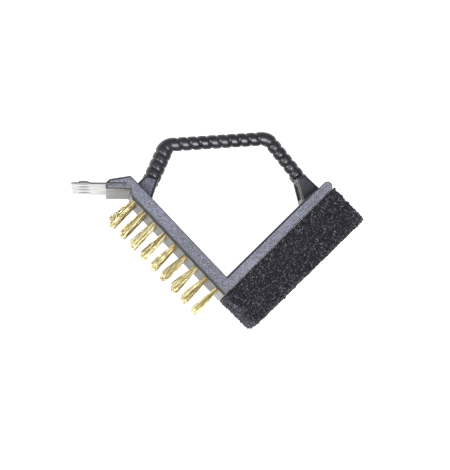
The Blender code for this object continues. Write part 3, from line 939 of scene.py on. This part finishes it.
def part_arms(mesh):
    """Cuts the flat sides of the V along the line from its inner corner to its tip, so that each
    arm has a face of its own."""
    tip = v_outline()[0]
    form = bmesh.new()
    form.from_mesh(mesh)
    flat = [face for face in form.faces if abs(face.normal.z) > FLAT_FACE]
    around = {item for face in flat for item in (*face.edges, *face.verts)}
    bmesh.ops.bisect_plane(
        form,
        geom=[*flat, *around],
        dist=1e-7,
        plane_co=(0, 0, 0),
        plane_no=(tip.y, -tip.x, 0),
    )
    form.to_mesh(mesh)
    form.free()


def mark_matt_and_painted_light(mesh):
    """Marks how eroded the flat faces are: both sides of the V, the side of the left foot that faces
    the camera, made pale partly as painted light, and the flat sides of the right foot, kept dark
    as painted shade."""
    matt_and_painted_light = mesh.attributes.new("matt_and_painted_light", "FLOAT", "FACE")
    for face in mesh.polygons:
        flat = abs(face.normal.z) > FLAT_FACE
        outside = not SAME_PLACE <= face.center.z <= BRUSH_WIDTH - SAME_PLACE
        on_left = face.center.x < 0
        on_foot = on_left and 0 < -face.center.xy.dot(LEFT_OUT) < LEFT_FOOT_HEIGHT
        faces_camera = face.normal.z > LEFT_FOOT_FACING
        value = 0.0
        if flat and outside:
            value = RIGHT_ARM_MATT if face.center.x > 0 else LEFT_ARM_MATT
        # The left foot's side: pale, partly as painted light.
        elif faces_camera and on_foot and face.area > LEFT_FOOT_LEAST_AREA:
            value = LEFT_FOOT_MATT_AND_PAINTED_LIGHT
        # The right foot's flat sides: kept dark as painted shade, where the arm shades them.
        elif flat and face.area > RIGHT_FOOT_LEAST_AREA:
            value = RIGHT_FOOT_MATT_AND_PAINTED_SHADE
        matt_and_painted_light.data[face.index].value = value


def smooth(obj, angle):
    """Smooth shading that keeps edges over this angle sharp and flat faces flat."""
    obj.data.shade_smooth()
    obj.data.set_sharp_from_angle(angle=math.radians(angle))
    even = obj.modifiers.new("Even shading", "WEIGHTED_NORMAL")
    even.keep_sharp = True
    even.weight = EVEN_SHADING_WEIGHT
    return applied(obj)


def bead_rise(from_tip, across):
    """How far the stiffening beads lift the blade at a point."""
    spacing = BRUSH_WIDTH / BEAD_SPACES
    nearest = round(across / spacing) * spacing
    x = (from_tip - BEAD_FROM_TIP) / (BEAD_LENGTH / 2)
    z = (across - nearest) / (BEAD_WIDTH / 2)
    reach = x * x + z * z
    return BEAD_HEIGHT * math.cos(reach**0.5 * math.pi / 2) ** BEAD_FULLNESS if reach < 1 else 0.0


def scraper_blade(finish):
    """A pressed sheet with its stiffening beads and a rounded rim."""
    width = BRUSH_WIDTH - 2 * BLADE_SIDE_INSET
    length = BLADE_EXPOSED + SLOT_DEPTH - CLEARANCE
    tip = BRACKET_END - BLADE_EXPOSED
    form = bmesh.new()
    bmesh.ops.create_grid(form, x_segments=BLADE_GRID[0], y_segments=BLADE_GRID[1], size=0.5)
    for vert in form.verts:
        share, across = vert.co.x + 0.5, (vert.co.y + 0.5) * width
        from_tip = share**BLADE_GRID_CROWDING * length
        edge = min(across, width - across)
        if edge < BLADE_CORNER:
            drop = math.sqrt(BLADE_CORNER**2 - (BLADE_CORNER - edge) ** 2)
            from_tip += (BLADE_CORNER - drop) * (1 - share)
        place = across + BLADE_SIDE_INSET
        top = SLOT_TOP - CLEARANCE + bead_rise(from_tip, place)
        vert.co = (tip + from_tip, top, place)
    bmesh.ops.recalc_face_normals(form, faces=form.faces[:])
    if form.faces[0].normal.y < 0:
        bmesh.ops.reverse_faces(form, faces=form.faces[:])
    mesh = bpy.data.meshes.new("blade_sheet")
    form.to_mesh(mesh)
    form.free()
    blade = piece("blade_sheet", mesh, finish)
    sheet = blade.modifiers.new("Sheet thickness", "SOLIDIFY")
    sheet.thickness = BLADE_THICKNESS
    sheet.offset = -1
    rim = blade.modifiers.new("Deburred rim", "BEVEL")
    rim.width = BLADE_RIM_ROUND
    rim.segments = BLADE_RIM_SEGMENTS
    rim.limit_method = "ANGLE"
    rim.angle_limit = math.radians(BLADE_RIM_ANGLE)
    applied(blade)
    return smooth(blade, BLADE_SHARP_ANGLE)


def circle(centre, first, second, radius, sides):
    """Points round a centre, in the plane of two directions."""
    turns = [2 * math.pi * side / sides for side in range(sides)]
    return [centre + (first * math.cos(turn) + second * math.sin(turn)) * radius for turn in turns]


def add_strand(form, rings, values):
    """Adds a tube and writes its values to its points. A value is a number, or a function of the
    share of the tube's length."""
    first = len(form.verts)
    tube(form, rings)
    form.verts.ensure_lookup_table()
    sides = len(rings[0])
    for number in range(first, len(form.verts)):
        share = (number - first) // sides / (len(rings) - 1)
        for layer, value in values.items():
            form.verts[number][layer] = value(share) if callable(value) else value


def wire_spine(wire, worn, lean, draw):
    """The points along one wire of a tuft, in the tuft's own frame."""
    share = math.sqrt((wire + 0.5) / WIRES)
    angle = wire * GOLDEN_ANGLE + draw.normal(0, ANGLE_SPREAD)
    flare = share * draw.uniform(*FLARE_RANGE) * (1 + WORN_FLARE * worn)
    root = TUFT_ROOT_DIAMETER / 2 - WIRE_DIAMETER / 2
    tip = TUFT_TIP_DIAMETER / 2 - WIRE_DIAMETER / 2
    start = Vector((math.cos(angle), math.sin(angle))) * root * share
    turned_by = angle + draw.normal(0, TWIST_SPREAD)
    end = Vector((math.cos(turned_by), math.sin(turned_by))) * tip * flare + lean
    reach = TUFT_LENGTH - abs(draw.normal(0, LENGTH_SPREAD)) - OUTER_WIRE_SHORTER * share
    crimp = draw.uniform(*CRIMP_RANGE)
    phase = draw.uniform(0, 2 * math.pi)
    crimp_angle = draw.uniform(0, math.pi)
    wave = Vector((math.cos(crimp_angle), math.sin(crimp_angle)))
    bottom = -TUFT_ROOT_DEPTH * ROOT_SHARE_MODELLED
    spine = []
    for step in range(WIRE_STEPS + 1):
        height = bottom + (reach - bottom) * step / WIRE_STEPS
        free = max(0.0, height / reach)
        grown = min(1.0, free * CRIMP_GROWTH)
        swing = crimp * math.sin(phase + height / CRIMP_HEIGHT_PER_RADIAN) * grown
        bent = start.lerp(end, free ** (BEND_POWER - WORN_BEND_POWER * worn))
        spine.append((bent + wave * swing).to_3d() + Vector((0, 0, height)))
    return spine


def wire_tuft(name, place, finish, draw):
    """A tuft of crimped brass wires, packed at its root and flared and uneven at its tip. The
    rows near the V are worn, so their wires spread sooner and wider."""
    worn = 1 - (int(name[0]) - 1) / (ROWS - 1)
    form = bmesh.new()
    tone = form.verts.layers.float.new("wire_tone")
    length = form.verts.layers.float.new("wire_length")
    frame_at = face_matrix(place)
    lean = Vector(draw.normal(0, LEAN_SPREAD, 2))
    for wire in range(WIRES):
        spine = wire_spine(wire, worn, lean, draw)
        rings = []
        for index, point in enumerate(spine):
            after = spine[min(index + 1, WIRE_STEPS)]
            before = spine[max(index - 1, 0)]
            turn = (after - before).to_track_quat("Z", "X").to_matrix()
            around = circle(point, turn.col[0], turn.col[1], WIRE_DIAMETER / 2, WIRE_SIDES)
            rings.append([frame_at @ corner for corner in around])
        add_strand(form, rings, {tone: draw.uniform(0, 1), length: lambda share: share})
    tuft = piece("bristle_wires_" + name, mesh_of("wires_" + name, form), finish)
    tuft.data.shade_smooth()
    tuft.data.set_sharp_from_angle(angle=math.radians(WIRE_SHARP_ANGLE))
    return tuft


def round_edges(form, edges, radius, segments):
    """Rounds these edges of a bmesh."""
    bmesh.ops.bevel(
        form, geom=edges, offset=radius, segments=segments, profile=0.5, affect="EDGES"
    )


def pad_core(finish):
    """The pad's body: a soft-cornered slab whose whole surface is broken up like matted fibre."""
    start = PAD_SHORT_OF_BRISTLE_FACE - LEFT_ARM_THICKNESS
    end = RIGHT_ARM_LENGTH - PAD_SHORT_OF_END
    form = bmesh.new()
    bmesh.ops.create_cube(form, size=1)
    across = BRUSH_WIDTH - 2 * PAD_SIDE_INSET
    bmesh.ops.transform(
        form,
        matrix=Matrix.Diagonal((end - start, PAD_THICKNESS, across, 1)),
        verts=form.verts[:],
    )
    half = PAD_THICKNESS / 2

    def on_glued_face(edge):
        return all(vert.co.y > half - 1e-6 for vert in edge.verts)

    open_edges = [edge for edge in form.edges if not on_glued_face(edge)]
    round_edges(form, open_edges, PAD_CORNER, PAD_CORNER_SEGMENTS)
    glued_edges = [edge for edge in form.edges if on_glued_face(edge)]
    round_edges(form, glued_edges, PAD_GLUED_CORNER, PAD_GLUED_CORNER_SEGMENTS)
    pad = piece("pad_core", mesh_of("pad_core", form), finish)
    cells = pad.modifiers.new("Even cells", "REMESH")
    cells.mode = "VOXEL"
    cells.voxel_size = PAD_CELL
    applied(pad)
    mesh = pad.data
    middle = right_place((start + end) / 2, PAD_FACE + PAD_THICKNESS / 2)
    place = Matrix.Translation((middle.x, middle.y, BRUSH_WIDTH / 2)) @ Matrix.Rotation(
        math.radians(RIGHT_ARM_ANGLE), 4, "Z"
    )
    moved = []
    for vert in mesh.vertices:
        point = vert.co + vert.normal * pad_rise(vert.co, (end - start) / 2, across / 2)
        thickens = PAD_THICKENS * (point.x / (end - start) + 0.5)
        point.y -= thickens * (0.5 - point.y / PAD_THICKNESS)
        moved.append(point)
    for vert, point in zip(mesh.vertices, moved):
        vert.co = place @ point
        vert.co.z = max(0.0, vert.co.z)
    if not mesh.materials:
        mesh.materials.append(finish)
    mesh.shade_smooth()
    mesh.update()
    return pad


def pad_rise(place, half_length, half_across):
    """How far the pad's surface stands out at a place of the slab, or in where it is negative."""
    at = place * 1000
    swell = noise.fractal(at * SWELL_SCALE, 1.0, 2.0, 3)
    tangle = abs(noise.noise(at * TANGLE_SCALE + TANGLE_OFFSET)) ** TANGLE_POWER
    grain = abs(noise.noise(at * GRAIN_SCALE + GRAIN_OFFSET)) ** GRAIN_POWER
    rise = SWELL_DEPTH * swell
    rise += TANGLE_DEPTH * (tangle - TANGLE_LEVEL)
    rise += GRAIN_DEPTH * (grain - GRAIN_LEVEL)
    rise = max(DEEPEST, min(HIGHEST, rise))
    if place.y <= PAD_THICKNESS / 2 - GLUED_SIDE_DEPTH:
        return rise
    at_end = abs(place.x) > half_length - GLUED_RIM_AT_END
    if at_end or abs(place.z) > half_across - GLUED_RIM_AT_SIDE:
        return GLUED_RIM_LIFT + min(0.0, rise) * GLUED_RIM_SHARE
    return min(0.0, rise) * GLUED_SHARE


def pad_fibres(core, finish, draw):
    """Loose fibres over the whole pad: short arcs that leave the mat and dip back into it."""
    mesh = core.data
    count = len(mesh.polygons)
    centres = np.empty(count * 3)
    normals = np.empty(count * 3)
    mesh.polygons.foreach_get("center", centres)
    mesh.polygons.foreach_get("normal", normals)
    centres = centres.reshape(-1, 3)
    normals = normals.reshape(-1, 3)
    out = Vector((RIGHT_OUT.x, RIGHT_OUT.y, 0))
    form = bmesh.new()
    tone = form.verts.layers.float.new("wire_tone")
    made = 0
    while made < FIBRES:
        index = int(draw.integers(count))
        normal = Vector(normals[index])
        if normal.dot(out) < GLUED_SIDE_FACING:
            continue
        made += 1
        rings = fibre_rings(Vector(centres[index]), normal, draw)
        add_strand(form, rings, {tone: draw.uniform(0, 1)})
    return piece("pad_fibres", mesh_of("pad_fibres", form), finish)


def fibre_rings(base, normal, draw):
    """The rings of one fibre over a place on the mat. A stray one ends in the air."""
    spin = Matrix.Rotation(draw.uniform(0, 2 * math.pi), 3, normal)
    along = spin @ normal.orthogonal().normalized()
    side = normal.cross(along)
    reach = draw.uniform(*FIBRE_REACH_RANGE)
    lift = draw.uniform(*FIBRE_LIFT_RANGE)
    curl = draw.normal(0, FIBRE_CURL_SPREAD)
    stray = draw.uniform() < STRAY_SHARE
    thick = FIBRE_DIAMETER * draw.uniform(*FIBRE_RADIUS_SHARES)
    rings = []
    for step in range(FIBRE_STEPS + 1):
        share = step / FIBRE_STEPS
        arch = math.sin(math.pi * share)
        rise = lift * arch - FIBRE_ROOT
        if stray:
            rise = (lift + STRAY_LIFT) * share - STRAY_ROOT
        centre = base + along * reach * (share - 0.5) + side * curl * arch + normal * rise
        around = circle(centre, normal, side, thick, FIBRE_SIDES)
        rings.append([Vector((point.x, point.y, max(0.0, point.z))) for point in around])
    return rings


# ---------------------------------------------------------------- the brush

draw = np.random.default_rng(11)
plastic = moulded_plastic()
steel = brushed_steel()
wire_finish = brass()
mat_finish = scouring_mat()
fibre_finish = scouring_fibre()


def stands_for(obj, slot, *nodes):
    """Puts a piece in the shared frame, on the one body, in place of these CAD nodes."""
    obj.location = V_CORNER
    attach(obj, "root")
    if nodes:
        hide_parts(*nodes)
    return obj


stands_for(body_moulding(plastic), "black_plastic", "body_moulding")
stands_for(scraper_blade(steel), "stainless_steel", "scraper_blade")
for name, place in tuft_places():
    tuft = wire_tuft(name, place, wire_finish, draw)
    stands_for(tuft, "brass_wire", "bristle_tuft_" + name)
core = stands_for(pad_core(mat_finish), "scouring_fibre", "scouring_pad")
stands_for(pad_fibres(core, fibre_finish, draw), "scouring_fibre")

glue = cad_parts["pad_glue_layer"]
for glue_slot in glue.material_slots:
    glue_slot.material = dried_glue()

# ---------------------------------------------------------------- stage, light and camera

far = FLOOR_HALF_SIZE
floor_corners = [(-far, -far, 0), (far, -far, 0), (far, far, 0), (-far, far, 0)]
floor_mesh = bpy.data.meshes.new("floor")
floor_mesh.from_pydata(floor_corners, [], [(0, 1, 2, 3)])
floor_mesh.update()
floor = piece("floor", floor_mesh, floor_finish())
floor.location.z = cad_low.z - FLOOR_BELOW


def area_light(name, direction, power, size):
    """A soft square light in this direction from the origin, aimed at it."""
    data = bpy.data.lights.new(name, "AREA")
    data.shape = "SQUARE"
    data.size = size
    data.energy = power
    lamp = bpy.data.objects.new(name, data)
    bpy.context.scene.collection.objects.link(lamp)
    out = Vector(direction).normalized()
    lamp.location = out * LIGHT_DISTANCE
    lamp.rotation_euler = out.to_track_quat("Z", "Y").to_euler()


for light in LIGHTS:
    area_light(*light)

world = bpy.data.worlds.new("studio")
bpy.context.scene.world = world
world.use_nodes = True
background = world.node_tree.nodes["Background"]
background.inputs["Color"].default_value = WORLD_COLOR
background.inputs["Strength"].default_value = WORLD_STRENGTH

camera_data = bpy.data.cameras.new("camera")
camera_data.lens = CAMERA_LENS
camera_data.sensor_width = CAMERA_SENSOR
camera_data.clip_start = CAMERA_CLIP_START
camera = bpy.data.objects.new("camera", camera_data)
bpy.context.scene.collection.objects.link(camera)
camera.location = V_CORNER + Vector(CAMERA_PLACE)
target = V_CORNER + Vector(CAMERA_TARGET)
back = (camera.location - target).normalized()
right = Vector((0, 1, 0)).cross(back).normalized()
up = back.cross(right)
camera.rotation_euler = Matrix((right, up, back)).transposed().to_euler()
bpy.context.scene.camera = camera
bpy.context.scene.view_settings.view_transform = "Standard"

bpy.context.view_layer.update()
